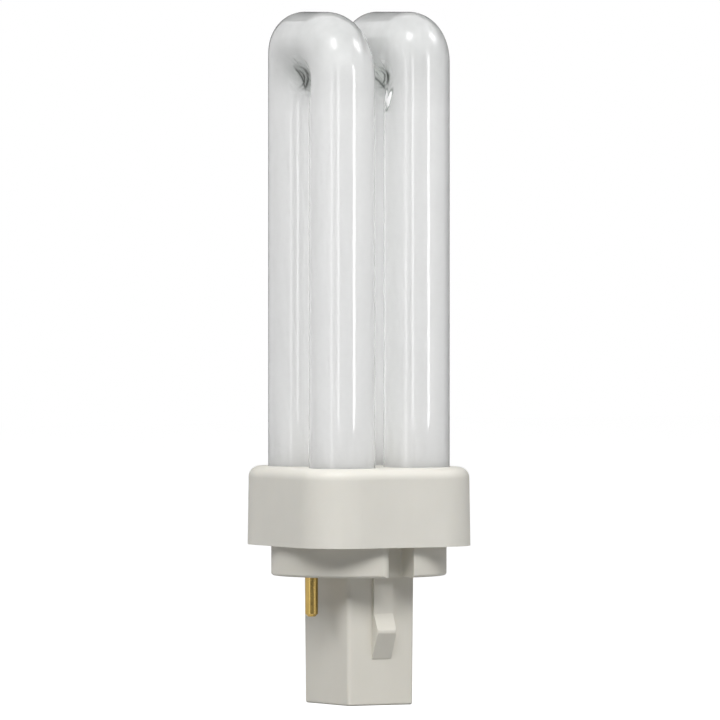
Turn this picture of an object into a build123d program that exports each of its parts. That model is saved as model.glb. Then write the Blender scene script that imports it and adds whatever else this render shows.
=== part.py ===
from build123d import *
import os
from math import cos, radians, sin, sqrt, tan

# A plug-in compact fluorescent lamp: two bent glass tubes joined by a bridge, a square collar
# that holds their legs, and a cap with a latching post and two contact pins.
# Millimetres. The origin is the centre of the cap's seat, the underside of its round disc.
# +Z runs along the lamp towards the glass. Each tube bends over along Y, with its front leg at -Y.

# Glass discharge tube
tube_d = 12.0              # outside diameter of the glass
leg_pitch = 15.45          # centre distance of neighbouring legs, along X and along Y
glass_rise = 82.6          # glass that stands above the collar
left_front_bend = 6.2      # centre-line radius of each quarter bend
left_back_bend = 1.5
right_front_bend = 3.2
right_back_bend = 0.8
crotch_drop = 3.4          # pressed glass web below the cross tube, at its thinnest
crotch_web = 5.4           # thickness of that web, along X
leg_end_r = 2.0            # rounding of the closed leg ends
bridge_d = 4.2             # cross tube that joins the two back legs
bridge_gap = 0.6           # from the leg ends up to the bridge
seal_w = 5.6               # pinch seal under each front leg, along X
seal_t = 2.0               # its thickness, along Y
seal_l = 2.5               # its length below the leg end
seal_gap = 0.4             # from the cap's flange up to the pinch seals
seal_wire_pitch = 3.0      # distance between the two wires in a pinch seal

# Collar
collar_margin = 3.44       # from the glass out to the collar's lower edge
collar_corner_r = 8.5      # upright corners
collar_h = 14.3            # height of the outer wall
collar_draft = 0.9         # mould draft of the outer wall, degrees
collar_top_r = 2.0         # rounding of the upper edge
collar_wall = 2.0          # wall above the rebate
collar_plate = 2.2         # top plate that the legs pass through
rebate_wall = 1.6          # wall around the flange of the cap
leg_clear = 0.15           # legs in the holes of the top plate
cement_t = 1.5             # cement bedded under the top plate
cement_clear = 0.05        # cement against the glass and the collar
cement_bridge_clear = 0.6  # window of the cement around the bridge

# Cap
disc_h = 5.5               # from the seat up to the collar
disc_wall = 1.6            # round wall of the disc
disc_plate = 1.8           # floor of the disc
disc_edge_r = 0.5          # lower edge of the disc
flange_t = 1.8             # square flange inside the collar's rebate
flange_clear = 0.1         # flange in the rebate
post_x = 13.9              # post at the disc, along X
post_y = 17.0              # post at the disc, along Y
post_h = 23.4              # length of the post below the seat
post_draft = 0.5           # mould draft of the post, degrees
post_corner_r = 0.9        # upright corners of the post
post_end_r = 0.4           # edge round the end of the post
post_wall = 1.4            # wall and floor of the post
key_x = 2.7                # upright wall of each keyway, from the middle of the latch
key_w = 4.3                # straight part of the keyway, beside that wall
key_gap = 2.6              # from the post's face to the floor of the keyway
key_root_r = 0.4           # inner corners of the keyway
key_ease_r = 1.9           # rounded side of the keyway, opposite its upright wall
key_ease_over = 0.05       # reach of that rounding past the rim, which it meets almost smoothly
key_wall = 1.2             # walls around the keyway

# Latch on the front and the back face of the post
latch_w = 3.9              # along X
latch_arm_t = 0.75         # how far the upper arm stands out of the post
latch_tip_t = 2.1          # how far the tip stands out of the post
latch_arm_l = 6.7          # from the seat to the start of the nose
latch_rise_l = 3.0         # from the arm out to the tip
latch_tip_l = 0.5          # flat of the tip
latch_fall_l = 4.7         # from the tip back to the post
latch_root = 0.8           # how deep the latch is rooted in the post's wall
latch_edge_r = 0.35        # edges of the nose

# Contact pins
pin_d = 2.36               # shank
pin_circle_d = 24.0        # circle through both pins
pin_turn = 15.5            # turn of the pins from the X axis, degrees
pin_l = 7.2                # length below the seat
pin_tip = 0.5              # chamfer of the tip
pin_head_d = 3.8           # riveted head inside the disc
pin_head_t = 0.8           # thickness of that head
pin_root_d = 2.8           # thicker root in the hole of the disc
pin_clear = 0.03           # root in that hole
pin_rim = 3.95             # from a pin's centre out to the rim of the disc

# Starter, its capacitor and the wires
starter_d = 6.6            # glow starter bottle
starter_l = 14.0           # glass body of the starter
starter_r = 1.2            # rounding of its two ends
starter_seal_w = 4.0       # pinch seal of the starter, along X
starter_seal_t = 1.6       # its thickness, along Y
starter_seal_l = 2.6       # its length
starter_wire_pitch = 2.2   # distance between the wires in that seal
capacitor_w = 7.4          # along X
capacitor_t = 3.2          # along Y
capacitor_h = 8.5          # along Z
capacitor_r = 0.9          # rounded edges of the dipped body
capacitor_wire_pitch = 5.0  # distance between the capacitor's own wires
loose_clear = 0.2          # starter and capacitor against the post's wall
splice_clear = 0.1         # between two wires laid side by side
wire_d = 0.5               # all lead wires
wire_bend_r = 0.9          # bends of the lead wires
wire_run = 1.3             # straight run of a wire at each of its ends

# Places that follow from the sizes above
tube_r = tube_d / 2
leg_at = leg_pitch / 2
collar_side = leg_pitch + tube_d + 2 * collar_margin
collar_top = disc_h + collar_h
flange_top = disc_h + flange_t
seal_end = flange_top + seal_gap
leg_end = seal_end + seal_l
glass_top = collar_top + glass_rise
pin_hole_r = pin_root_d / 2 + pin_clear
pin_x = pin_circle_d / 2 * cos(radians(pin_turn))
pin_y = pin_circle_d / 2 * sin(radians(pin_turn))
pin_head_top = disc_plate + pin_head_t
disc_r = pin_circle_d / 2 + pin_rim
bay_r = disc_r - disc_wall
post_floor = -post_h + post_wall
post_bay_x = post_x - 2 * post_wall
post_bay_y = post_y - 2 * post_wall
post_bay_h = disc_plate - post_floor
post_floor_y = post_bay_y / 2 - post_bay_h * tan(radians(post_draft))
key_floor = post_y / 2 + key_gap
starter_y = -(post_floor_y - loose_clear - starter_d / 2)
starter_top = post_floor + starter_l + starter_seal_l
capacitor_y = post_floor_y - loose_clear - capacitor_t / 2


def upright(radius, height, x=0, y=0, z=0):
    """A cylinder that stands on the height z."""
    return Pos(x, y, z) * Cylinder(radius, height, align=(Align.CENTER, Align.CENTER, Align.MIN))


def block(x, y, z):
    """A box between two limits along each axis."""
    size = [high - low for low, high in (x, y, z)]
    middle = [(low + high) / 2 for low, high in (x, y, z)]
    return Pos(*middle) * Box(*size)


def square_prism(side, corner_r, z, height, taper=0):
    return extrude(Pos(0, 0, z) * RectangleRounded(side, side, corner_r), height, taper=taper)


def bend(leg_y, bend_r):
    """Quarter bend above a leg. A bend tighter than the tube is thick keeps only the part of the
    tube's circle that lies outside the bend's axis."""
    outward = 1 if leg_y > 0 else -1
    axis_y = leg_y - outward * bend_r
    axis_z = glass_top - tube_r - bend_r
    outside = Pos(0, axis_y + outward * tube_d, axis_z) * Rectangle(2 * tube_d, 2 * tube_d)
    profile = (Pos(0, leg_y, axis_z) * Circle(tube_r)) & outside
    return revolve(profile, Axis((0, axis_y, axis_z), (outward, 0, 0)), 90), axis_y, axis_z


def bent_tube(leg_x, front_bend, back_bend):
    """One tube: two legs, two quarter bends, the cross tube and the pressed web between the legs."""
    bar_z = glass_top - tube_r
    glass = Part()
    bar_ends = []
    for leg_y, bend_r in ((-leg_at, front_bend), (leg_at, back_bend)):
        corner, axis_y, axis_z = bend(leg_y, bend_r)
        leg = upright(tube_r, axis_z - leg_end, y=leg_y, z=leg_end)
        glass += fillet(leg.edges().group_by(Axis.Z)[0], leg_end_r)
        glass += corner
        bar_ends.append(axis_y)
    bar_l = bar_ends[1] - bar_ends[0]
    glass += Pos(0, sum(bar_ends) / 2, bar_z) * Rot(90, 0, 0) * Cylinder(tube_r, bar_l)
    gap_r = leg_at - tube_r
    arch_z = glass_top - tube_d - crotch_drop - gap_r
    web_y = leg_at - sqrt(tube_r ** 2 - (crotch_web / 2) ** 2) + gap_r / 2
    web = block((-crotch_web / 2, crotch_web / 2), (-web_y, web_y), (arch_z, bar_z))
    web -= Pos(0, 0, arch_z) * Rot(0, 90, 0) * Cylinder(gap_r, 2 * crotch_web)
    return Pos(leg_x, 0, 0) * (glass + web)


def discharge_tube():
    """Both tubes, the bridge between their back legs and the pinch seals of their front legs."""
    tube = bent_tube(-leg_at, left_front_bend, left_back_bend)
    tube += bent_tube(leg_at, right_front_bend, right_back_bend)
    bridge_z = leg_end + leg_end_r + bridge_gap + bridge_d / 2
    tube += Pos(0, leg_at, bridge_z) * Rot(0, 90, 0) * Cylinder(bridge_d / 2, leg_pitch)
    for leg_x in (-leg_at, leg_at):
        tube += block((leg_x - seal_w / 2, leg_x + seal_w / 2),
                      (-leg_at - seal_t / 2, -leg_at + seal_t / 2), (seal_end, leg_end + leg_end_r))
    return tube


def leg_holes(clear, z, depth):
    """Four cylinders around the legs, upwards from z."""
    return [upright(tube_r + clear, depth, x, y, z) for x in (-leg_at, leg_at) for y in (-leg_at, leg_at)]


def collar():
    """Square collar, open below, with a rebate for the cap's flange and a shoulder above it."""
    shell = square_prism(collar_side, collar_corner_r, disc_h, collar_h, taper=collar_draft)
    shell = fillet(shell.edges().group_by(Axis.Z)[-1], collar_top_r)
    shell -= square_prism(collar_side - 2 * rebate_wall, collar_corner_r - rebate_wall, disc_h, flange_t)
    shell -= square_prism(collar_side - 2 * collar_wall, collar_corner_r - collar_wall, disc_h,
                          collar_h - collar_plate)
    return shell - leg_holes(leg_clear, collar_top - 2 * collar_plate, 3 * collar_plate)


def tube_cement():
    """Cement bed under the collar's top plate, round the outer sides of the legs. The window in its
    middle leaves room for the bridge."""
    bed_z = collar_top - collar_plate - cement_t
    bed = square_prism(collar_side - 2 * collar_wall - 2 * cement_clear, collar_corner_r - collar_wall,
                       bed_z, cement_t)
    window = leg_at + bridge_d / 2 + cement_bridge_clear
    bed -= block((-window, window), (-window, window), (bed_z - cement_t, bed_z + 2 * cement_t))
    return bed - leg_holes(cement_clear, bed_z - cement_t, 3 * cement_t)


def latch():
    """Latch of the front face: an arm and a nose with a ramp on each side, rooted in the post."""
    face = -post_y / 2
    root = face + latch_root
    arm = face - latch_arm_t
    point = face - latch_tip_t
    tip = -latch_arm_l - latch_rise_l
    tip_end = tip - latch_tip_l
    foot = tip_end - latch_fall_l
    outline = Polyline((root, disc_plate / 2), (arm, disc_plate / 2), (arm, -latch_arm_l), (point, tip),
                       (point, tip_end), (face, foot), (root, foot), close=True)
    nose = extrude(Plane.YZ * make_face(outline), latch_w / 2, both=True)
    return fillet(nose.edges().group_by(Axis.Y)[0], latch_edge_r)


def cap_base():
    """Cap moulded in one piece: disc with keyways, square flange, hollow post and its two latches."""
    cap = upright(disc_r, disc_h)
    cap = fillet(cap.edges().group_by(Axis.Z)[0], disc_edge_r)
    flange_inset = rebate_wall + flange_clear
    cap += square_prism(collar_side - 2 * flange_inset, collar_corner_r - flange_inset, disc_h, flange_t)
    post = extrude(RectangleRounded(post_x, post_y, post_corner_r), -post_h, taper=post_draft)
    cap += fillet(post.edges().group_by(Axis.Z)[0], post_end_r)
    # Round bay of the disc, which leaves the walls of the keyways standing, and the post's own bay
    bay = upright(bay_r, flange_top, z=disc_plate)
    key_left = key_x - key_w
    ease_x = key_left - key_ease_r
    ease_at = disc_r - key_ease_r + key_ease_over
    ease_y = -sqrt(ease_at ** 2 - ease_x ** 2)
    rim_x = ease_x * disc_r / ease_at
    key_walls = block((ease_x, key_x + key_wall), (-disc_r, key_wall - key_floor), (0, disc_h + key_wall))
    keyway = block((key_left, key_x), (-2 * disc_r, -key_floor), (-disc_plate, disc_h))
    keyway = fillet(keyway.edges().filter_by(Axis.Z).group_by(Axis.Y)[-1], key_root_r)
    keyway += block((rim_x, key_left), (-2 * disc_r, ease_y), (-disc_plate, disc_h))
    keyway -= upright(key_ease_r, disc_h + 2 * disc_plate, ease_x, ease_y, -disc_plate)
    pin_hole = upright(pin_hole_r, 3 * disc_plate, -pin_x, -pin_y, -disc_plate)
    for turn in (0, 180):
        cap += Rot(0, 0, turn) * latch()
        bay -= Rot(0, 0, turn) * key_walls
    cap -= bay
    cap -= extrude(Pos(0, 0, disc_plate) * Rectangle(post_bay_x, post_bay_y), -post_bay_h, taper=post_draft)
    for turn in (0, 180):
        cap -= Rot(0, 0, turn) * keyway
        cap -= Rot(0, 0, turn) * pin_hole
    return cap


def contact_pin():
    """Turned brass pin of the left side, with a chamfered tip, riveted over inside the disc."""
    shank = upright(pin_d / 2, pin_l, -pin_x, -pin_y, -pin_l)
    pin = chamfer(shank.edges().group_by(Axis.Z)[0], pin_tip)
    pin += upright(pin_root_d / 2, disc_plate, -pin_x, -pin_y)
    head = upright(pin_head_d / 2, pin_head_t, -pin_x, -pin_y, disc_plate)
    return pin + fillet(head.edges().group_by(Axis.Z)[-1], pin_head_t / 3)


def glow_starter():
    """Starter bottle, standing on the floor of the post with its seal upwards."""
    bottle = upright(starter_d / 2, starter_l, y=starter_y, z=post_floor)
    bottle = fillet(bottle.edges().filter_by(GeomType.CIRCLE), starter_r)
    return bottle + block((-starter_seal_w / 2, starter_seal_w / 2),
                          (starter_y - starter_seal_t / 2, starter_y + starter_seal_t / 2),
                          (post_floor + starter_l - starter_r, starter_top))


def wire(*points):
    """Round wire along straight runs with a bend at each corner."""
    path = FilletPolyline(*points, radius=wire_bend_r)
    start = Plane(origin=path @ 0, z_dir=path % 0)
    return sweep(start * Circle(wire_d / 2), path=path)


def starter_capacitor():
    """Dipped capacitor beside the starter, with its wires led to the starter's wires."""
    body_top = post_floor + capacitor_h
    body = block((-capacitor_w / 2, capacitor_w / 2),
                 (capacitor_y - capacitor_t / 2, capacitor_y + capacitor_t / 2), (post_floor, body_top))
    body = fillet(body.edges(), capacitor_r)
    splice_y = starter_y + wire_d + splice_clear
    splice_z = starter_top + wire_run
    for side in (-1, 1):
        wire_x = side * capacitor_wire_pitch / 2
        body += wire((wire_x, capacitor_y, body_top - capacitor_r), (wire_x, capacitor_y, splice_z),
                     (side * starter_wire_pitch / 2, splice_y, splice_z))
    return body


def pin_lead(side):
    """Wire from the outer end of a pinch seal to the head of the contact pin on the same side."""
    seal_x = side * (leg_at + seal_wire_pitch / 2)
    head_x = side * pin_x
    head_y = side * pin_y
    return wire((seal_x, -leg_at, seal_end), (seal_x, -leg_at, seal_end - wire_run),
                (head_x, head_y, pin_head_top + wire_run), (head_x, head_y, pin_head_top))


def starter_lead(side):
    """Wire from the inner end of a pinch seal over the disc's floor and down to the starter's seal."""
    seal_x = side * (leg_at - seal_wire_pitch / 2)
    starter_x = side * starter_wire_pitch / 2
    return wire((seal_x, -leg_at, seal_end), (seal_x, -leg_at, seal_end - wire_run),
                (starter_x, starter_y, disc_plate + wire_run), (starter_x, starter_y, starter_top))


lamp = {
    "discharge_tube": discharge_tube(),
    "collar": collar(),
    "tube_cement": tube_cement(),
    "cap_base": cap_base(),
    "contact_pin_left": contact_pin(),
    "contact_pin_right": Rot(0, 0, 180) * contact_pin(),
    "glow_starter": glow_starter(),
    "starter_capacitor": starter_capacitor(),
    "pin_lead_left": pin_lead(-1),
    "pin_lead_right": pin_lead(1),
    "starter_lead_left": starter_lead(-1),
    "starter_lead_right": starter_lead(1),
}

os.makedirs("parts", exist_ok=True)
for name, piece in lamp.items():
    export_step(piece, f"parts/{name}.step")
    print(name, "solids", len(piece.solids()), "volume", round(piece.volume, 3))
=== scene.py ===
import math

import bpy
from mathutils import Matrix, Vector


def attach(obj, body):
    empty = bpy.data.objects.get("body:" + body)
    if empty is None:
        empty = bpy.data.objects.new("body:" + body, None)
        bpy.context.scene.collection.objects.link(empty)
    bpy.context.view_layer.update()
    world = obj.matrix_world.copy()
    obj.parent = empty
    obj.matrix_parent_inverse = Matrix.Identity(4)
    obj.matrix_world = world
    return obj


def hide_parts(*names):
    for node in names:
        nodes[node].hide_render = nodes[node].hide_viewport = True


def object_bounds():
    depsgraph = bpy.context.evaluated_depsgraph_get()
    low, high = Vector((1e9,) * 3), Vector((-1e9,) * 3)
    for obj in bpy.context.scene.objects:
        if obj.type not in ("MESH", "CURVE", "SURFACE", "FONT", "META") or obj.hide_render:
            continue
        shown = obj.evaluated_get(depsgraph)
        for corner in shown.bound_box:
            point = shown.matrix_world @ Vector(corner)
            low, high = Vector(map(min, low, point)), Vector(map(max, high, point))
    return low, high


# A plug-in compact fluorescent lamp on a white sweep. Everything is in metres.
# X runs across the two bent tubes, each tube bends over along Y, and +Z points to the glass.
mm = 0.001

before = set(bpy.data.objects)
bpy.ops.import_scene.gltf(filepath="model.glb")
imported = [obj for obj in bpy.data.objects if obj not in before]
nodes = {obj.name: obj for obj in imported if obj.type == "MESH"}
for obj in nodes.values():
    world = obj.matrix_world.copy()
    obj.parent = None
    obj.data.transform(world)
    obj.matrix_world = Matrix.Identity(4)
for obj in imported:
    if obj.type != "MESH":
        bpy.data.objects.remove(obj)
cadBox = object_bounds()
print("stage: frame loaded,", len(nodes), "nodes")


# Helpers for node trees

def addNode(tree, kind, links=None, **settings):
    node = tree.nodes.new(kind)
    for key, value in settings.items():
        setattr(node, key, value)
    for name, value in (links or {}).items():
        feed(tree, node.inputs[name], value)
    return node


def feed(tree, socket, value):
    # a socket is linked, anything else is set as the socket's own value
    if isinstance(value, bpy.types.NodeSocket):
        tree.links.new(value, socket)
    else:
        socket.default_value = value


def calculator(tree):
    def calc(operation, *values):
        node = tree.nodes.new("ShaderNodeMath")
        node.operation = operation
        for socket, value in zip(node.inputs, values):
            feed(tree, socket, value)
        return node.outputs[0]
    return calc


def makePiece(name, mesh, material=None):
    piece = bpy.data.objects.new(name, mesh)
    bpy.context.scene.collection.objects.link(piece)
    if material:
        mesh.materials.clear()
        mesh.materials.append(material)
    return piece


def keepAsMesh(name, shaped):
    # the evaluated result of the modifiers becomes a plain mesh on a new object
    graph = bpy.context.evaluated_depsgraph_get()
    mesh = bpy.data.meshes.new_from_object(shaped.evaluated_get(graph), depsgraph=graph)
    mesh.name = name
    bpy.data.objects.remove(shaped)
    return makePiece(name, mesh)


# Helpers for materials

def newMaterial(name):
    material = bpy.data.materials.new(name)
    material.use_nodes = True
    tree = material.node_tree
    shader = tree.nodes["Principled BSDF"]
    place = tree.nodes.new("ShaderNodeTexCoord").outputs["Object"]
    return material, tree, shader, place


def noise(tree, place, scale, detail=3.0, roughness=0.5, stretch=None):
    if stretch:
        place = addNode(tree, "ShaderNodeMapping", {"Vector": place, "Scale": stretch}).outputs[0]
    return addNode(tree, "ShaderNodeTexNoise", {"Vector": place, "Scale": scale, "Detail": detail,
                                                "Roughness": roughness}).outputs["Fac"]


def ramp(tree, factor, *stops):
    node = addNode(tree, "ShaderNodeValToRGB", {"Fac": factor})
    band = node.color_ramp
    while len(band.elements) < len(stops):
        band.elements.new(0.5)
    for element, (at, colour) in zip(band.elements, stops):
        element.position = at
        element.color = (*colour, 1.0)
    return node.outputs["Color"]


def blendColours(tree, mode, factor, first, second):
    node = addNode(tree, "ShaderNodeMix", data_type="RGBA", blend_type=mode)
    feed(tree, node.inputs[0], factor)
    feed(tree, node.inputs[6], first)
    feed(tree, node.inputs[7], second)
    return node.outputs[2]


def fade(tree, value, fromEnds, toEnds=(0.0, 1.0)):
    # a value that runs between the first ends runs between the second ends instead
    return addNode(tree, "ShaderNodeMapRange", {
        "Value": value, "From Min": fromEnds[0], "From Max": fromEnds[1],
        "To Min": toEnds[0], "To Max": toEnds[1]}).outputs[0]


def span(tree, value, low, high):
    return fade(tree, value, (0.0, 1.0), (low, high))


def bump(tree, height, strength, distance):
    return addNode(tree, "ShaderNodeBump", {"Height": height, "Strength": strength,
                                            "Distance": distance}).outputs["Normal"]


# Bent tube: rings carried along one leg, over the cross tube and down the other leg

tube = {
    "radius": 6.0 * mm,
    "legAt": 7.725 * mm,          # each leg's centre from the lamp's axis
    "top": 102.4 * mm,
    "legEnd": 10.2 * mm,          # closed ends of the legs, inside the collar
    "endRound": 2.0 * mm,
    "leftBends": (6.2 * mm, 1.5 * mm),     # centre-line radius in front and behind
    "rightBends": (3.2 * mm, 0.8 * mm),
    "cornerFill": 0.12,           # how far the inner corners are filled with glass
    "webDrop": 3.4 * mm,          # pressed glass below the cross tube
    "webReach": (2.1 * mm, 4.5 * mm),
    "webSqueeze": 0.45,           # how far the press closes the tube there
    "pressReach": (4.2 * mm, 2.8 * mm),    # reach of the press along Y and Z
    "pressBelow": 0.6 * mm,       # its middle, below the cross tube
    "bareReach": (3.0 * mm, 2.7 * mm),     # reach of the glass that has lost its powder
    "bareBelow": -0.5 * mm,
    "creaseDepth": 0.11 * mm,
    "creasePitch": 1.30 * mm,
    "creaseAt": (3.0 * mm, 0.6 * mm),      # centre of the curved creases, along Y and below the cross tube
    "ringsPerHalf": 190,
    "segments": 136,
    "barShare": 0.12,             # share of the rings on the cross tube, and up to the end of the bend
    "bendShare": 0.42,
    "capShare": 0.94,             # the leg's last rings close its end
    "mergeWithin": 0.01 * mm,     # closes the seam of the rolled-up grid and the leg ends
}


# Coated glass: a white powder behind clear glass, thinner and greyer at the bends, and darker still on the
# tops as painted shade that evens out the stronger light they get from above

def phosphorGlass():
    look = {
        "powder": (0.87, 0.875, 0.87), "thinTopShade": (0.34, 0.35, 0.345), "bare": (0.60, 0.63, 0.605),
        # near-black painted shade for the pressed creases
        "creaseShade": (0.04, 0.05, 0.04),
        # the marks lie in an upright plane, turned to the side they were measured from
        "markTurn": -28.8,
        # curved creases, painted as dark lines of shade: tube, centre along that plane and from the cross
        # tube's underside, radius and width
        "creases": (
            (0.0, -11.66 * mm, -0.2 * mm, 2.41 * mm, 0.26 * mm),
            (0.0, -11.66 * mm, -0.2 * mm, 1.75 * mm, 0.22 * mm),
            (0.0, -16.97 * mm, -3.0 * mm, 7.24 * mm, 0.20 * mm),
            (1.0, 3.40 * mm, 0.0 * mm, 1.92 * mm, 0.26 * mm),
            (1.0, 3.40 * mm, 0.0 * mm, 1.35 * mm, 0.18 * mm),
            (1.0, -2.00 * mm, -6.4 * mm, 8.07 * mm, 0.22 * mm),
        ),
        "markAt": ((-10.35 * mm, 0.0), (4.0 * mm, 0.2 * mm)), "markReach": (1.7 * mm, 2.4 * mm),
        "legMark": 0.6,               # how bare the right tube's front leg is beside its mark
        # white of the painted glints and the painted shade of their rims
        "glintWhite": (1.0, 1.0, 1.0), "glintRimShade": (0.40, 0.42, 0.40),
        # painted glints, white flakes with darker painted rims: centre as above, half length, half width and
        # lean in degrees
        "glintFlakes": (
            (5.00 * mm, -3.3 * mm, 1.1 * mm, 0.20 * mm, 4.0),
            (5.40 * mm, -4.0 * mm, 1.6 * mm, 0.27 * mm, 16.0),
        ),
        "glintFacing": (-0.54, -0.67, 0.51),
        "thinTopShadeFrom": (84 * mm, 101 * mm),       # heights over which the powder thins out
        "wander": 0.25 * mm,                   # how far the creases and flakes stray from their curves
        "markEdge": (0.1, 0.5), "pressedEdge": (0.12, 0.4),
        "glintRimEdge": (0.05, 0.2), "glintFlakeEdge": (0.25, 0.4),
        "foldShare": 0.5, "foldDepth": 1.2 * mm,
        "scatter": 16 * mm,                    # how far light travels in the coated glass
    }
    material, tree, shader, place = newMaterial("phosphorGlass")
    calc = calculator(tree)
    axes = addNode(tree, "ShaderNodeSeparateXYZ", {"Vector": place}).outputs
    height = axes["Z"]
    cloud = noise(tree, place, 70.0, 4.0, 0.6)
    grain = noise(tree, place, 900.0, 2.0)
    streak = noise(tree, place, 300.0, 2.0, stretch=(1.0, 1.0, 0.03))
    # greyer towards the top: partly the thinner powder of the bends, partly painted shade on the brighter-lit
    # tops
    thinTopShadeShare = calc("MULTIPLY", fade(tree, height, look["thinTopShadeFrom"]), span(tree, cloud, 0.2, 1.0))
    colour = blendColours(tree, "MIX", thinTopShadeShare, (*look["powder"], 1), (*look["thinTopShade"], 1))
    tone = calc("ADD", span(tree, grain, 0.975, 1.01), span(tree, streak, -0.012, 0.012))
    colour = blendColours(tree, "MULTIPLY", 1.0, colour, tone)

    # bare glass around each press mark
    turn = math.radians(look["markTurn"])
    along = calc("MULTIPLY_ADD", axes["X"], math.cos(turn), calc("MULTIPLY", axes["Y"], math.sin(turn)))
    rise = calc("SUBTRACT", height, tube["top"] - 2 * tube["radius"])
    isRight = calc("GREATER_THAN", axes["X"], 0.0)
    # inner half of the right tube's front leg
    onLeg = calc("MULTIPLY", calc("LESS_THAN", axes["Y"], -tube["legAt"] / 2),
                 calc("LESS_THAN", axes["X"], tube["legAt"]))
    onLeg = calc("MULTIPLY", onLeg, isRight)

    def nearSpot(spot, reach):
        offAlong = calc("DIVIDE", calc("SUBTRACT", along, spot[0]), reach[0])
        offRise = calc("DIVIDE", calc("SUBTRACT", rise, spot[1]), reach[1])
        spread = calc("ADD", calc("POWER", offAlong, 2.0), calc("POWER", offRise, 2.0))
        return calc("EXPONENT", calc("MULTIPLY", spread, -1.0))

    inMark = calc("MAXIMUM", *(nearSpot(spot, look["markReach"]) for spot in look["markAt"]))
    inMark = fade(tree, inMark, look["markEdge"])
    bare = addNode(tree, "ShaderNodeAttribute", attribute_name="bareGlass").outputs["Fac"]
    bare = calc("MAXIMUM", bare, calc("MULTIPLY", calc("MULTIPLY", inMark, onLeg), look["legMark"]))
    colour = blendColours(tree, "MIX", bare, colour, (*look["bare"], 1))

    # painted shade: dark curved lines in the creases where the press has closed the glass
    wander = span(tree, noise(tree, place, 500.0, 2.0), -look["wander"], look["wander"])
    creaseShadeLines = 0.0
    for side, centreAlong, centreRise, radius, width in look["creases"]:
        offAlong = calc("SUBTRACT", along, centreAlong)
        offRise = calc("SUBTRACT", rise, centreRise)
        far = calc("SQRT", calc("ADD", calc("POWER", offAlong, 2.0), calc("POWER", offRise, 2.0)))
        off = calc("DIVIDE", calc("ADD", calc("SUBTRACT", far, radius), wander), width)
        line = calc("EXPONENT", calc("MULTIPLY", calc("POWER", off, 2.0), -1.0))
        line = calc("MULTIPLY", line, span(tree, calc("DIVIDE", offAlong, radius), 0.0, 1.0))
        creaseShadeLines = calc("MAXIMUM", creaseShadeLines, calc("MULTIPLY", line, calc("COMPARE", isRight, side, 0.5)))
    pressed = fade(tree, bare, look["pressedEdge"])
    creaseShadeLines = calc("MULTIPLY", calc("MULTIPLY", creaseShadeLines, pressed), inMark)
    colour = blendColours(tree, "MIX", creaseShadeLines, colour, (*look["creaseShade"], 1))

    # painted glints: white flakes with darker painted rims on the right tube's front leg, just under its
    # press mark
    crumple = 0.0
    for centreAlong, centreRise, halfLength, halfWidth, lean in look["glintFlakes"]:
        offAlong = calc("SUBTRACT", along, centreAlong)
        offRise = calc("SUBTRACT", rise, centreRise)
        tilt = math.radians(lean)
        lengthwise = calc("MULTIPLY_ADD", offAlong, math.sin(tilt), calc("MULTIPLY", offRise, math.cos(tilt)))
        across = calc("MULTIPLY_ADD", offAlong, math.cos(tilt), calc("MULTIPLY", offRise, -math.sin(tilt)))
        spread = calc("ADD", calc("POWER", calc("DIVIDE", lengthwise, halfLength), 2.0),
                      calc("POWER", calc("DIVIDE", calc("ADD", across, wander), halfWidth), 2.0))
        crumple = calc("MAXIMUM", crumple, calc("EXPONENT", calc("MULTIPLY", spread, -1.0)))
    crumple = calc("MULTIPLY", crumple, onLeg)
    glintRimMask = fade(tree, crumple, look["glintRimEdge"])
    colour = blendColours(tree, "MIX", glintRimMask, colour, (*look["glintRimShade"], 1))
    light = fade(tree, crumple, look["glintFlakeEdge"])
    colour = blendColours(tree, "MIX", light, colour, (*look["glintWhite"], 1))
    crumple = calc("MAXIMUM", crumple, calc("MULTIPLY", pressed, look["foldShare"]))
    folds = calc("MULTIPLY", noise(tree, place, 650.0, 2.0), crumple)
    folded = bump(tree, folds, 1.0, look["foldDepth"])
    turned = addNode(tree, "ShaderNodeMix", data_type="VECTOR")
    feed(tree, turned.inputs[0], light)
    feed(tree, turned.inputs[4], folded)
    feed(tree, turned.inputs[5], look["glintFacing"])
    folded = addNode(tree, "ShaderNodeVectorMath", {0: turned.outputs[1]}, operation="NORMALIZE").outputs[0]
    feed(tree, shader.inputs["Normal"], folded)
    feed(tree, shader.inputs["Coat Normal"], folded)
    feed(tree, shader.inputs["Base Color"], colour)
    feed(tree, shader.inputs["Roughness"], span(tree, cloud, 0.34, 0.5))
    shader.inputs["Specular IOR Level"].default_value = 0.25
    shader.inputs["Coat Weight"].default_value = 1.0
    shader.inputs["Coat Roughness"].default_value = 0.035
    shader.inputs["Coat IOR"].default_value = 1.5
    # the powder lets light through, so the legs light each other
    feed(tree, shader.inputs["Subsurface Weight"], calc("SUBTRACT", 1.0, calc("MAXIMUM", bare, light)))
    shader.inputs["Subsurface Radius"].default_value = (1.0, 1.0, 1.0)
    shader.inputs["Subsurface Scale"].default_value = look["scatter"]
    return material


# Ivory moulding: satin surface with a fine spark texture and faint flow clouds

def ivoryMoulding(name, colour, shade):
    material, tree, shader, place = newMaterial(name)
    cloud = noise(tree, place, 55.0, 3.0, 0.55)
    flow = noise(tree, place, 210.0, 3.0, 0.6, stretch=(1.0, 1.0, 0.35))
    spark = noise(tree, place, 3200.0, 2.0, 0.6)
    base = ramp(tree, cloud, (0.3, shade), (0.7, colour))
    base = blendColours(tree, "MULTIPLY", 1.0, base, span(tree, flow, 0.965, 1.025))
    feed(tree, shader.inputs["Base Color"], base)
    feed(tree, shader.inputs["Roughness"], span(tree, flow, 0.42, 0.56))
    feed(tree, shader.inputs["Normal"], bump(tree, spark, 0.10, 0.05 * mm))
    shader.inputs["Specular IOR Level"].default_value = 0.45
    shader.inputs["Subsurface Weight"].default_value = 0.06
    shader.inputs["Subsurface Radius"].default_value = (1.2 * mm, 0.9 * mm, 0.6 * mm)
    shader.inputs["Subsurface Scale"].default_value = 1.0
    return material


# Brass pin: drawn rod, so its marks run along Z

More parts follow.
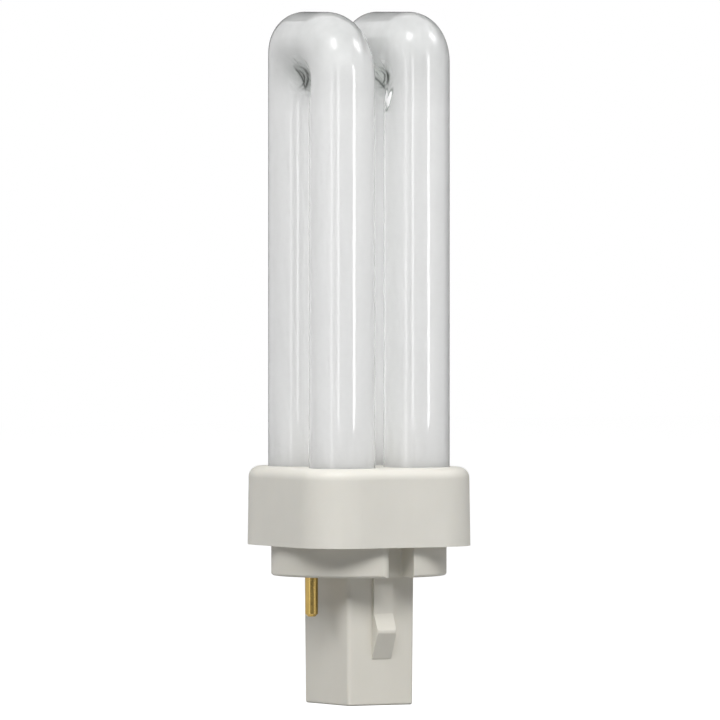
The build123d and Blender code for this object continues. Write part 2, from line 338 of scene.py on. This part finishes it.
def drawnBrass():
    material, tree, shader, place = newMaterial("drawnBrass")
    draw = noise(tree, place, 1800.0, 3.0, 0.6, stretch=(1.0, 1.0, 0.05))
    stain = noise(tree, place, 420.0, 3.0, 0.6)
    colour = ramp(tree, draw, (0.25, (0.49, 0.325, 0.09)), (0.75, (0.66, 0.475, 0.165)))
    colour = blendColours(tree, "MULTIPLY", 1.0, colour, span(tree, stain, 0.82, 1.08))
    feed(tree, shader.inputs["Base Color"], colour)
    feed(tree, shader.inputs["Roughness"], span(tree, draw, 0.15, 0.25))
    feed(tree, shader.inputs["Normal"], bump(tree, draw, 0.15, 0.03 * mm))
    shader.inputs["Metallic"].default_value = 1.0
    return material


# Sealed pieces inside the cap

def sealedFinish(name, dark, light, scale, roughness, metallic=0.0, coat=0.0):
    material, tree, shader, place = newMaterial(name)
    grain = noise(tree, place, scale, 4.0, 0.6)
    feed(tree, shader.inputs["Base Color"], ramp(tree, grain, (0.3, dark), (0.7, light)))
    feed(tree, shader.inputs["Roughness"], span(tree, grain, roughness - 0.08, roughness + 0.08))
    feed(tree, shader.inputs["Normal"], bump(tree, grain, 0.2, 0.05 * mm))
    shader.inputs["Metallic"].default_value = metallic
    shader.inputs["Coat Weight"].default_value = coat
    return material


def bentTubeTree(glass):
    tree = bpy.data.node_groups.new("bentTube", "GeometryNodeTree")
    tree.interface.new_socket("Geometry", in_out="INPUT", socket_type="NodeSocketGeometry")
    for name in ("Tube X", "Front Bend", "Back Bend", "Radius", "Leg At", "Top", "Leg End", "End Round",
                 "Corner Fill", "Web Drop", "Web Squeeze", "Crease Depth"):
        tree.interface.new_socket(name, in_out="INPUT", socket_type="NodeSocketFloat")
    tree.interface.new_socket("Geometry", in_out="OUTPUT", socket_type="NodeSocketGeometry")
    given = tree.nodes.new("NodeGroupInput").outputs
    calc = calculator(tree)
    radius, legAt, top = given["Radius"], given["Leg At"], given["Top"]

    def between(value, low, high):
        share = calc("DIVIDE", calc("SUBTRACT", value, low), high - low)
        return calc("MINIMUM", calc("MAXIMUM", share, 0.0), 1.0)

    def bell(value, reach):
        return calc("EXPONENT", calc("MULTIPLY", calc("POWER", calc("DIVIDE", value, reach), 2.0), -1.0))

    # a flat grid: along X it counts the rings from the middle outwards, along Y it goes round the tube
    grid = addNode(tree, "GeometryNodeMeshGrid", {"Size X": 2.0, "Size Y": 2.0,
                                                  "Vertices X": 2 * tube["ringsPerHalf"] + 1,
                                                  "Vertices Y": tube["segments"] + 1})
    spot = addNode(tree, "ShaderNodeSeparateXYZ", {0: tree.nodes.new("GeometryNodeInputPosition").outputs[0]})
    ring = calc("ABSOLUTE", spot.outputs[0])
    isFront = calc("LESS_THAN", spot.outputs[0], 0.0)
    side = calc("MULTIPLY_ADD", isFront, 2.0, -1.0)
    around = calc("MULTIPLY_ADD", calc("ABSOLUTE", spot.outputs[1]), 0.4, 0.6)
    around = calc("MULTIPLY", calc("MULTIPLY", spot.outputs[1], around), math.pi)
    bendStep = calc("SUBTRACT", given["Front Bend"], given["Back Bend"])
    bend = calc("MULTIPLY_ADD", isFront, bendStep, given["Back Bend"])

    # each ring's station: on the cross tube, in the quarter bend, on the leg or on its closed end
    onBar = between(ring, 0.0, tube["barShare"])
    unturned = calc("SUBTRACT", 1.0, between(ring, tube["barShare"], tube["bendShare"]))
    turn = calc("MULTIPLY", unturned, math.pi / 2)
    legShare = between(ring, tube["bendShare"], 1.0)
    downLeg = calc("POWER", between(legShare, 0.0, tube["capShare"]), 1.5)
    closing = calc("MULTIPLY", between(legShare, tube["capShare"], 1.0), math.pi / 2)
    ringRadius = calc("MULTIPLY", radius, calc("COSINE", closing))
    lowest = calc("MULTIPLY_ADD", calc("SUBTRACT", 1.0, calc("SINE", closing)),
                  given["End Round"], given["Leg End"])
    inward = calc("MULTIPLY", ringRadius, calc("COSINE", around))
    across = calc("MULTIPLY", ringRadius, calc("SINE", around))

    # each line along the tube turns with its own radius, and the inner ones are filled out
    barZ = calc("SUBTRACT", top, radius)
    innerShare = calc("DIVIDE", inward, radius)
    fill = calc("MAXIMUM", calc("MULTIPLY_ADD", innerShare, calc("SUBTRACT", 1.0, given["Corner Fill"]),
                                given["Corner Fill"]), 0.0)
    room = calc("SUBTRACT", legAt, inward)
    turnRadius = calc("SMOOTH_MAX", calc("SUBTRACT", bend, inward), calc("MULTIPLY", fill, room), 0.8 * mm)
    cornerZ = calc("SUBTRACT", calc("SUBTRACT", barZ, inward), turnRadius)
    y = calc("SUBTRACT", calc("MULTIPLY", calc("SUBTRACT", turnRadius, room), onBar),
             calc("MULTIPLY", turnRadius, calc("COSINE", turn)))
    y = calc("MULTIPLY", y, side)
    z = calc("MULTIPLY_ADD", turnRadius, calc("SINE", turn), cornerZ)
    z = calc("SUBTRACT", z, calc("MULTIPLY", downLeg, calc("SUBTRACT", cornerZ, lowest)))

    # pressed crotch: squeezed along X and drawn down between the legs
    crown = calc("SUBTRACT", barZ, radius)
    below = calc("SUBTRACT", z, crown)
    inside = calc("MINIMUM", calc("MULTIPLY", calc("MAXIMUM", innerShare, 0.0), 2.5), 1.0)

    def nearCrotch(reach, middle):
        spread = calc("MULTIPLY", bell(y, reach[0]), bell(calc("ADD", below, middle), reach[1]))
        return calc("MULTIPLY", spread, inside)

    press = nearCrotch(tube["pressReach"], tube["pressBelow"])
    squeezed = calc("MULTIPLY", across, calc("SUBTRACT", 1.0, calc("MULTIPLY", press, given["Web Squeeze"])))
    reachY, reachZ = tube["webReach"]
    pull = calc("MULTIPLY", bell(y, reachY), bell(below, reachZ))
    pull = calc("MULTIPLY", pull, calc("POWER", calc("MAXIMUM", innerShare, 0.0), 3.0))
    z = calc("SUBTRACT", z, calc("MULTIPLY", pull, given["Web Drop"]))

    # both are noted on the flat grid, because moving the points changes what the formulas read
    kept = grid
    for name, value in (("press", press), ("bareGlass", nearCrotch(tube["bareReach"], tube["bareBelow"]))):
        kept = addNode(tree, "GeometryNodeStoreNamedAttribute", {
            "Geometry": kept.outputs[0], "Name": name, "Value": value}, data_type="FLOAT", domain="POINT")
    x = calc("ADD", squeezed, given["Tube X"])
    place = addNode(tree, "ShaderNodeCombineXYZ", {"X": x, "Y": y, "Z": z}).outputs[0]
    shaped = addNode(tree, "GeometryNodeSetPosition", {"Geometry": kept.outputs[0], "Position": place})
    merged = addNode(tree, "GeometryNodeMergeByDistance", {"Geometry": shaped.outputs[0],
                                                           "Distance": tube["mergeWithin"]})
    mask = addNode(tree, "GeometryNodeInputNamedAttribute", {"Name": "press"}, data_type="FLOAT").outputs[0]

    # two families of curved creases left by the press, one from each leg
    spot = addNode(tree, "ShaderNodeSeparateXYZ", {0: tree.nodes.new("GeometryNodeInputPosition").outputs[0]})
    wander = addNode(tree, "ShaderNodeTexNoise", {"Scale": 420.0, "Detail": 2.0}).outputs["Fac"]
    creaseY, creaseBelow = tube["creaseAt"]
    waves = []
    for leg in (-1, 1):
        offY = calc("POWER", calc("SUBTRACT", spot.outputs[1], leg * creaseY), 2.0)
        offZ = calc("POWER", calc("ADD", calc("SUBTRACT", spot.outputs[2], crown), creaseBelow), 2.0)
        phase = calc("MULTIPLY_ADD", calc("SQRT", calc("ADD", offY, offZ)), 2 * math.pi / tube["creasePitch"],
                     calc("MULTIPLY", wander, 5.0))
        waves.append(calc("SINE", phase))
    depth = calc("MULTIPLY", mask, given["Crease Depth"])
    ridge = calc("MULTIPLY", calc("MAXIMUM", waves[0], waves[1]), depth)
    push = addNode(tree, "ShaderNodeVectorMath", {0: tree.nodes.new("GeometryNodeInputNormal").outputs[0],
                                                  "Scale": ridge}, operation="SCALE").outputs[0]
    creased = addNode(tree, "GeometryNodeSetPosition", {"Geometry": merged.outputs[0], "Offset": push})
    smooth = addNode(tree, "GeometryNodeSetShadeSmooth", {"Geometry": creased.outputs[0]})
    real = addNode(tree, "GeometryNodeRealizeInstances", {"Geometry": smooth.outputs[0]})
    painted = addNode(tree, "GeometryNodeSetMaterial", {"Geometry": real.outputs[0], "Material": glass})
    tree.links.new(painted.outputs[0], tree.nodes.new("NodeGroupOutput").inputs[0])
    return tree


def setInputs(modifier, values):
    for item in modifier.node_group.interface.items_tree:
        if item.in_out == "INPUT" and item.name in values:
            modifier[item.identifier] = values[item.name]


def bentTube(name, tree, tubeX, bends):
    holder = bpy.data.objects.new(name + "Path", bpy.data.meshes.new(name + "Path"))
    bpy.context.scene.collection.objects.link(holder)
    modifier = holder.modifiers.new("bentTube", "NODES")
    modifier.node_group = tree
    setInputs(modifier, {"Tube X": tubeX, "Front Bend": bends[0], "Back Bend": bends[1],
                         "Radius": tube["radius"], "Leg At": tube["legAt"], "Top": tube["top"],
                         "Leg End": tube["legEnd"], "End Round": tube["endRound"],
                         "Corner Fill": tube["cornerFill"], "Web Drop": tube["webDrop"],
                         "Web Squeeze": tube["webSqueeze"], "Crease Depth": tube["creaseDepth"]})
    return keepAsMesh(name, holder)


glass = phosphorGlass()
tubeTree = bentTubeTree(glass)
leftTube = bentTube("bentTubeLeft", tubeTree, -tube["legAt"], tube["leftBends"])
rightTube = bentTube("bentTubeRight", tubeTree, tube["legAt"], tube["rightBends"])
for piece in (leftTube, rightTube):
    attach(piece, "root")
    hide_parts("discharge_tube")
    print("stage:", piece.name, len(piece.data.polygons), "faces")


# Finishes of the pieces that keep their solids

ivory = ivoryMoulding("collarIvory", (0.81, 0.79, 0.725), (0.77, 0.75, 0.685))
capIvory = ivoryMoulding("capIvory", (0.80, 0.775, 0.70), (0.76, 0.735, 0.66))
brass = drawnBrass()
cement = sealedFinish("basingCement", (0.70, 0.68, 0.62), (0.84, 0.82, 0.77), 900.0, 0.8)
starterGlass = sealedFinish("starterGlass", (0.72, 0.76, 0.75), (0.84, 0.87, 0.86), 300.0, 0.15, coat=1.0)
resin = sealedFinish("capacitorResin", (0.36, 0.15, 0.05), (0.48, 0.22, 0.08), 600.0, 0.3, coat=0.6)
tinned = sealedFinish("tinnedWire", (0.50, 0.50, 0.49), (0.72, 0.71, 0.69), 1500.0, 0.35, metallic=1.0)
finishes = {
    "collar": ivory, "cap_base": capIvory, "contact_pin_left": brass, "contact_pin_right": brass,
    "tube_cement": cement, "glow_starter": starterGlass, "starter_capacitor": resin,
    "pin_lead_left": tinned, "pin_lead_right": tinned,
    "starter_lead_left": tinned, "starter_lead_right": tinned,
}
for name, finish in finishes.items():
    mesh = nodes[name].data
    mesh.materials.clear()
    mesh.materials.append(finish)
print("stage: finishes set")


# Floor, backdrop and lamps. Angles are to the right of the camera and above the horizon.

shot = {
    "azimuth": -28.8, "elevation": 1.49, "distance": 2.727, "lens": 750.0,
    "aimZ": 39.1 * mm, "aimRight": 0.2 * mm,
}
studio = {
    "floorSize": 3.0,
    "floorGlow": 0.95,            # makes the floor as white as the background
    "floorShine": 0.55,           # and its share in reflections
    "roomFront": 0.07,            # light of the white room from the camera's side
    "roomBack": 1.30,             # and from behind
    "roomTurn": (0.35, 0.85),     # where the first turns into the second, as cosines
    "roomTop": 0.10,              # share of that light straight above
    "roomRise": (0.2, 0.55),      # where it sinks to that share, as sines
    "softFall": 1.5,              # how quickly a soft lamp darkens towards its edges
    "softGain": 1.7,              # keeps its whole light the same
    "lookAt": (0.0, 0.0, 40 * mm),
    # name, angle, height, distance, width, length, power and kind: fill lights surfaces and isn't reflected,
    # soft and round are only reflected
    "boxes": [
        ("highLeft", -29.0, 58.0, 0.80, 0.38, 0.38, 1.4, "round"),
        ("highRight", 92.0, 46.0, 0.80, 0.38, 0.38, 1.3, "round"),
        ("frontWide", 6.0, 44.0, 1.10, 1.00, 0.40, 8.9, "fill"),
        ("sideLeft", -62.0, 42.0, 0.80, 0.50, 0.40, 2.6, "fill"),
        ("sideRight", 55.0, 40.0, 0.80, 0.50, 0.40, 1.6, "fill"),
        ("farRight", 108.0, 6.0, 0.80, 0.30, 0.40, 0.30, "fill"),
        ("softStreak", -12.5, 6.0, 1.00, 0.18, 0.36, 0.55, "soft"),
        ("rightStreak", 42.0, 10.3, 0.80, 0.20, 0.40, 1.25, "soft"),
        ("leftStreak", -37.0, 0.0, 0.80, 0.12, 0.18, 0.11, "soft"),
    ],
    # slim lamps between the legs: name, angle, X and power
    "strips": [("stripMiddle", -84.0, 0.0, 1.65e-3), ("stripLeft", 79.0, -tube["legAt"], 5.5e-4)],
    "stripSize": (1.4 * mm, 70 * mm),
    "stripAt": 55.5 * mm,
    # dark boards that only reflections show: name, angle, middle, distance, width and height
    "flags": [
        ("flagLeft", -165.0, 0.0, 0.70, 0.35, 1.2),
        ("flagRight", 142.0, 0.0, 0.70, 0.75, 1.2),
        ("flagBack", 180.0, 0.45, 0.70, 0.54, 0.6),
        ("flagFront", 5.0, 0.0, 1.80, 2.40, 1.6),
        ("flagLow", 14.0, -2 * mm, 0.25, 0.38, 42 * mm),
    ],
}


def fromCamera(right, up):
    turn, lift = math.radians(shot["azimuth"] + right), math.radians(up)
    return Vector((math.sin(turn) * math.cos(lift), -math.cos(turn) * math.cos(lift), math.sin(lift)))


def seenDirectly(tree, calc):
    paths = tree.nodes.new("ShaderNodeLightPath").outputs
    bounced = calc("MAXIMUM", paths["Is Glossy Ray"], paths["Is Transmission Ray"])
    return calc("MAXIMUM", paths["Is Camera Ray"], bounced)


def sweepMaterial():
    # a white floor that keeps the lamp's shadow
    material, tree, shader, place = newMaterial("whiteSweep")
    calc = calculator(tree)
    shader.inputs["Base Color"].default_value = (0.35, 0.35, 0.35, 1)
    shader.inputs["Roughness"].default_value = 0.9
    shader.inputs["Specular IOR Level"].default_value = 0.0
    shader.inputs["Emission Color"].default_value = (1, 1, 1, 1)
    paths = tree.nodes.new("ShaderNodeLightPath").outputs
    seen = calc("MULTIPLY_ADD", paths["Is Glossy Ray"], studio["floorShine"], paths["Is Camera Ray"])
    feed(tree, shader.inputs["Emission Strength"], calc("MULTIPLY", seen, studio["floorGlow"]))
    return material


def whiteRoom():
    world = bpy.data.worlds.new("whiteRoom")
    bpy.context.scene.world = world
    world.use_nodes = True
    tree = world.node_tree
    calc = calculator(tree)
    back = tree.nodes["Background"]
    back.inputs["Color"].default_value = (1, 1, 1, 1)
    way = tree.nodes.new("ShaderNodeTexCoord").outputs["Generated"]
    behind = addNode(tree, "ShaderNodeVectorMath", {0: way, 1: -fromCamera(0.0, 0.0)},
                     operation="DOT_PRODUCT").outputs["Value"]
    rise = addNode(tree, "ShaderNodeSeparateXYZ", {0: way}).outputs[2]
    fill = calc("MULTIPLY", fade(tree, behind, studio["roomTurn"], (studio["roomFront"], studio["roomBack"])),
                fade(tree, rise, studio["roomRise"], (1.0, studio["roomTop"])))
    # what is seen directly or in a reflection is plain white
    strength = calc("MULTIPLY_ADD", calc("SUBTRACT", 1.0, fill), seenDirectly(tree, calc), fill)
    feed(tree, back.inputs["Strength"], strength)


def darkBoard(name, right, middleHeight, distance, width, height):
    toBoard = fromCamera(right, 0.0)
    along = Vector((-toBoard.y, toBoard.x, 0.0)) * width / 2
    middle = toBoard * distance + Vector((0, 0, middleHeight))
    rise = Vector((0, 0, height / 2))
    mesh = bpy.data.meshes.new(name)
    mesh.from_pydata([middle - along - rise, middle + along - rise, middle + along + rise,
                      middle - along + rise], [], [(0, 1, 2, 3)])
    material, tree, shader, place = newMaterial(name)
    cloth = ramp(tree, noise(tree, place, 40.0), (0.3, (0.015,) * 3), (0.7, (0.03,) * 3))
    feed(tree, shader.inputs["Base Color"], cloth)
    shader.inputs["Roughness"].default_value = 0.9
    board = makePiece(name, mesh, material)
    board.visible_camera = board.visible_diffuse = board.visible_shadow = False


def softBox(name, right, up, distance, width, length, power, kind, middle=studio["lookAt"]):
    data = bpy.data.lights.new(name, "AREA")
    data.shape = "RECTANGLE"
    data.size, data.size_y = width, length
    data.energy = power
    if kind != "fill":
        # bright in the middle and dark towards its upright edges, a round one towards all edges
        data.use_nodes = True
        tree = data.node_tree
        calc = calculator(tree)
        across = tree.nodes.new("ShaderNodeNewGeometry").outputs["Parametric"]
        place = addNode(tree, "ShaderNodeSeparateXYZ", {0: across})
        glow = 1.0
        for axis in range(2 if kind == "round" else 1):
            off = calc("MULTIPLY_ADD", place.outputs[axis], 2.0, -1.0)
            inner = calc("MAXIMUM", calc("SUBTRACT", 1.0, calc("MULTIPLY", off, off)), 0.0)
            bright = calc("POWER", inner, studio["softFall"])
            glow = calc("MULTIPLY", glow, calc("MULTIPLY", bright, studio["softGain"]))
        feed(tree, tree.nodes["Emission"].inputs["Strength"], glow)
    lamp = bpy.data.objects.new(name, data)
    lamp.visible_glossy = kind != "fill"
    lamp.visible_diffuse = kind == "fill"
    lamp.visible_camera = False
    toLamp = fromCamera(right, up)
    lamp.location = Vector(middle) + toLamp * distance
    lamp.rotation_mode = "QUATERNION"
    lamp.rotation_quaternion = (-toLamp).to_track_quat("-Z", "Y")
    bpy.context.scene.collection.objects.link(lamp)


floorHeight = cadBox[0].z
half = studio["floorSize"] / 2
floorMesh = bpy.data.meshes.new("sweep")
floorMesh.from_pydata([(-half, -half, floorHeight), (half, -half, floorHeight), (half, half, floorHeight),
                       (-half, half, floorHeight)], [], [(0, 1, 2, 3)])
sweep = makePiece("sweep", floorMesh, sweepMaterial())
whiteRoom()
for box in studio["boxes"]:
    softBox(*box)
for flag in studio["flags"]:
    darkBoard(*flag)
for name, right, x, power in studio["strips"]:
    # slim lamps between the legs, for the light that the hollow tubes pass on to each other
    softBox(name, right, 0.0, 0.0, *studio["stripSize"], power, "fill", (x, 0.0, studio["stripAt"]))
print("stage: studio lit")


# Camera at the photograph's angle

def placeCamera():
    back = fromCamera(0.0, shot["elevation"])
    right = Vector((-back.y, back.x, 0.0)).normalized()
    data = bpy.data.cameras.new("shot")
    data.lens = shot["lens"]
    data.sensor_width = 36.0
    data.clip_start, data.clip_end = 0.01, 20.0
    camera = bpy.data.objects.new("shot", data)
    camera.location = Vector((0, 0, shot["aimZ"])) + right * shot["aimRight"] + back * shot["distance"]
    camera.rotation_mode = "QUATERNION"
    camera.rotation_quaternion = (-back).to_track_quat("-Z", "Y")
    bpy.context.scene.collection.objects.link(camera)
    bpy.context.scene.camera = camera


placeCamera()
bpy.context.scene.view_settings.view_transform = "Standard"
print("stage: camera set")
